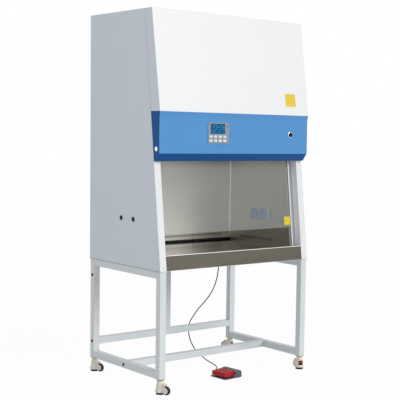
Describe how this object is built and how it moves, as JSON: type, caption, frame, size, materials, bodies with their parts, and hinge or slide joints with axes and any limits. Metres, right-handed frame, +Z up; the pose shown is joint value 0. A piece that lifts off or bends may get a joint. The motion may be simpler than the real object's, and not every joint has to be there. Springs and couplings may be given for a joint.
{
  "type": "biosafety cabinet",
  "caption": "Free-standing biosafety cabinet with a sliding glass sash, hinged control cover, stainless work chamber and a caster stand with a foot switch.",
  "frame": {"origin": "on the floor, midway between the side panels and midway between the front bottom edge and the back of the cabinet", "axes": "+Z up, -Y towards the operator, +X to the operator's right"},
  "size_m": [1.114, 0.8418, 2.158],
  "materials": {
    "white_enamel": "smooth powder coat",
    "panel_grey": "fine powder coat",
    "post_grey": "smooth powder coat",
    "stand_grey": "smooth powder coat",
    "stainless": "fine brushed",
    "galvanised": "galvanised sheet",
    "fascia_blue": "moulded plastic",
    "module_grey": "satin plastic",
    "key_white": "satin plastic",
    "lcd_blue": "lit display",
    "lock_chrome": "polished",
    "barrel_dark": "blackened",
    "sash_clear": "clear toughened glass",
    "guide_alu": "anodised",
    "motor_zinc": "zinc plated",
    "black_plastic": "moulded",
    "socket_grey": "moulded",
    "lid_blue": "moulded",
    "filter_white": "pleated paper",
    "fan_black": "moulded",
    "lamp_glass": "frosted tube",
    "caster_zinc": "yellow zinc plate",
    "caster_cream": "moulded",
    "caster_black": "moulded",
    "foot_red": "rubber sole, red dial",
    "switch_grey": "cast housing",
    "switch_red": "moulded",
    "cord_grey": "extruded sheath"
  },
  "bodies": {
    "cabinet": {"side_panel_right": "panel_grey", "side_panel_left": "panel_grey", "rear_panel": "panel_grey", "top_panel": "panel_grey", "exhaust_grille": "panel_grey", "base_pan": "galvanised", "cable_glands": "black_plastic", "front_posts": "post_grey", "black_plugs": "black_plastic", "front_sump": "stainless", "intake_grille": "stainless", "work_tray": "stainless", "rear_liner": "stainless", "side_liners": "stainless", "socket_bodies": "socket_grey", "sash_guides": "guide_alu", "sash_motor": "motor_zinc", "diffuser_screen": "galvanised", "supply_filter": "filter_white", "exhaust_filter": "filter_white", "plenum_box": "galvanised", "fan_motor": "motor_zinc", "lamp_tubes": "lamp_glass", "stand_side_frames": "stand_grey", "stand_crossbars": "stand_grey", "caster_mounts": "caster_zinc", "foot_switch_base": "switch_grey", "foot_switch_cord": "cord_grey"},
    "front_cover": {"upper_cover": "white_enamel", "control_fascia": "fascia_blue", "control_module": "module_grey", "display_screen": "lcd_blue", "lock_fittings": "lock_chrome"},
    "key_switch": {"key_barrel": "barrel_dark"},
    "sash": {"sash_glass": "sash_clear", "sash_carrier": "guide_alu"},
    "pedal": {"treadle": "switch_red"},
    "lid_rear": {"socket_lid_rear": "lid_blue"},
    "lid_front": {"socket_lid_front": "lid_blue"},
    "fan": {"fan_impeller": "fan_black"},
    "key_1": {"control_key_1": "key_white"},
    "key_2": {"control_key_2": "key_white"},
    "key_3": {"control_key_3": "key_white"},
    "key_4": {"control_key_4": "key_white"},
    "key_5": {"control_key_5": "key_white"},
    "key_6": {"control_key_6": "key_white"},
    "key_7": {"control_key_7": "key_white"},
    "key_8": {"control_key_8": "key_white"},
    "caster_front_left": {"caster_housing_front_left": "caster_cream"},
    "wheel_front_left": {"caster_wheel_front_left": "caster_black"},
    "foot_front_left": {"levelling_foot_front_left": "foot_red"},
    "caster_rear_left": {"caster_housing_rear_left": "caster_cream"},
    "wheel_rear_left": {"caster_wheel_rear_left": "caster_black"},
    "foot_rear_left": {"levelling_foot_rear_left": "foot_red"},
    "caster_front_right": {"caster_housing_front_right": "caster_cream"},
    "wheel_front_right": {"caster_wheel_front_right": "caster_black"},
    "foot_front_right": {"levelling_foot_front_right": "foot_red"},
    "caster_rear_right": {"caster_housing_rear_right": "caster_cream"},
    "wheel_rear_right": {"caster_wheel_rear_right": "caster_black"},
    "foot_rear_right": {"levelling_foot_rear_right": "foot_red"}
  },
  "joints": [
    {"name": "cover_hinge", "type": "hinge", "parent": "cabinet", "child": "front_cover", "pos_m": [0, -0.20102, 2.1488], "axis": [-1, 0, 0], "range_deg": [0, 55]},
    {"name": "sash_slide", "type": "slide", "parent": "cabinet", "child": "sash", "axis": [0, 0.1191, 0.9929], "range_m": [-0.122, 0.3]},
    {"name": "key_1_press", "type": "slide", "parent": "front_cover", "child": "key_1", "axis": [0, 1, 0], "range_m": [0, 0.0015], "stiffness_N_per_m": 500, "springref_m": -0.001},
    {"name": "key_2_press", "type": "slide", "parent": "front_cover", "child": "key_2", "axis": [0, 1, 0], "range_m": [0, 0.0015], "stiffness_N_per_m": 500, "springref_m": -0.001},
    {"name": "key_3_press", "type": "slide", "parent": "front_cover", "child": "key_3", "axis": [0, 1, 0], "range_m": [0, 0.0015], "stiffness_N_per_m": 500, "springref_m": -0.001},
    {"name": "key_4_press", "type": "slide", "parent": "front_cover", "child": "key_4", "axis": [0, 1, 0], "range_m": [0, 0.0015], "stiffness_N_per_m": 500, "springref_m": -0.001},
    {"name": "key_5_press", "type": "slide", "parent": "front_cover", "child": "key_5", "axis": [0, 1, 0], "range_m": [0, 0.0015], "stiffness_N_per_m": 500, "springref_m": -0.001},
    {"name": "key_6_press", "type": "slide", "parent": "front_cover", "child": "key_6", "axis": [0, 1, 0], "range_m": [0, 0.0015], "stiffness_N_per_m": 500, "springref_m": -0.001},
    {"name": "key_7_press", "type": "slide", "parent": "front_cover", "child": "key_7", "axis": [0, 1, 0], "range_m": [0, 0.0015], "stiffness_N_per_m": 500, "springref_m": -0.001},
    {"name": "key_8_press", "type": "slide", "parent": "front_cover", "child": "key_8", "axis": [0, 1, 0], "range_m": [0, 0.0015], "stiffness_N_per_m": 500, "springref_m": -0.001},
    {"name": "key_switch_turn", "type": "hinge", "parent": "front_cover", "child": "key_switch", "pos_m": [0.409, -0.35144, 1.462], "axis": [0, 1, 0], "range_deg": [0, 90]},
    {"name": "treadle_press", "type": "hinge", "parent": "cabinet", "child": "pedal", "pos_m": [0.04097, -0.24402, 0.017], "axis": [0.0698, -0.9976, 0], "range_deg": [0, 5], "stiffness_Nm_per_rad": 6, "springref_deg": -8.59},
    {"name": "lid_rear_hinge", "type": "hinge", "parent": "cabinet", "child": "lid_rear", "pos_m": [0.4555, 0.026, 0.9865], "axis": [0, 1, 0], "range_deg": [0, 100], "stiffness_Nm_per_rad": 0.06, "springref_deg": -34.38},
    {"name": "lid_front_hinge", "type": "hinge", "parent": "cabinet", "child": "lid_front", "pos_m": [0.4555, -0.064, 0.9865], "axis": [0, 1, 0], "range_deg": [0, 100], "stiffness_Nm_per_rad": 0.06, "springref_deg": -34.38},
    {"name": "caster_front_left_swivel", "type": "hinge", "parent": "cabinet", "child": "caster_front_left", "pos_m": [-0.527, -0.352, 0.076], "axis": [0, 0, 1], "continuous": true},
    {"name": "wheel_front_left_spin", "type": "hinge", "parent": "caster_front_left", "child": "wheel_front_left", "pos_m": [-0.51535, -0.39547, 0.025], "axis": [0.9659, 0.2588, 0], "continuous": true},
    {"name": "foot_front_left_level", "type": "slide", "parent": "caster_front_left", "child": "foot_front_left", "axis": [0, 0, 1], "range_m": [-0.01, 0.005]},
    {"name": "caster_rear_left_swivel", "type": "hinge", "parent": "cabinet", "child": "caster_rear_left", "pos_m": [-0.527, 0.352, 0.076], "axis": [0, 0, 1], "continuous": true},
    {"name": "wheel_rear_left_spin", "type": "hinge", "parent": "caster_rear_left", "child": "wheel_rear_left", "pos_m": [-0.51535, 0.30853, 0.025], "axis": [0.9659, 0.2588, 0], "continuous": true},
    {"name": "foot_rear_left_level", "type": "slide", "parent": "caster_rear_left", "child": "foot_rear_left", "axis": [0, 0, 1], "range_m": [-0.01, 0.005]},
    {"name": "caster_front_right_swivel", "type": "hinge", "parent": "cabinet", "child": "caster_front_right", "pos_m": [0.527, -0.352, 0.076], "axis": [0, 0, 1], "continuous": true},
    {"name": "wheel_front_right_spin", "type": "hinge", "parent": "caster_front_right", "child": "wheel_front_right", "pos_m": [0.53865, -0.30853, 0.025], "axis": [-0.9659, 0.2588, 0], "continuous": true},
    {"name": "foot_front_right_level", "type": "slide", "parent": "caster_front_right", "child": "foot_front_right", "axis": [0, 0, 1], "range_m": [-0.01, 0.005]},
    {"name": "caster_rear_right_swivel", "type": "hinge", "parent": "cabinet", "child": "caster_rear_right", "pos_m": [0.527, 0.352, 0.076], "axis": [0, 0, 1], "continuous": true},
    {"name": "wheel_rear_right_spin", "type": "hinge", "parent": "caster_rear_right", "child": "wheel_rear_right", "pos_m": [0.51535, 0.39547, 0.025], "axis": [-0.9659, -0.2588, 0], "continuous": true},
    {"name": "foot_rear_right_level", "type": "slide", "parent": "caster_rear_right", "child": "foot_rear_right", "axis": [0, 0, 1], "range_m": [-0.01, 0.005]},
    {"name": "fan_spin", "type": "hinge", "parent": "cabinet", "child": "fan", "pos_m": [0, 0.06, 1.5525], "axis": [0, 0, 1], "continuous": true}
  ]
}
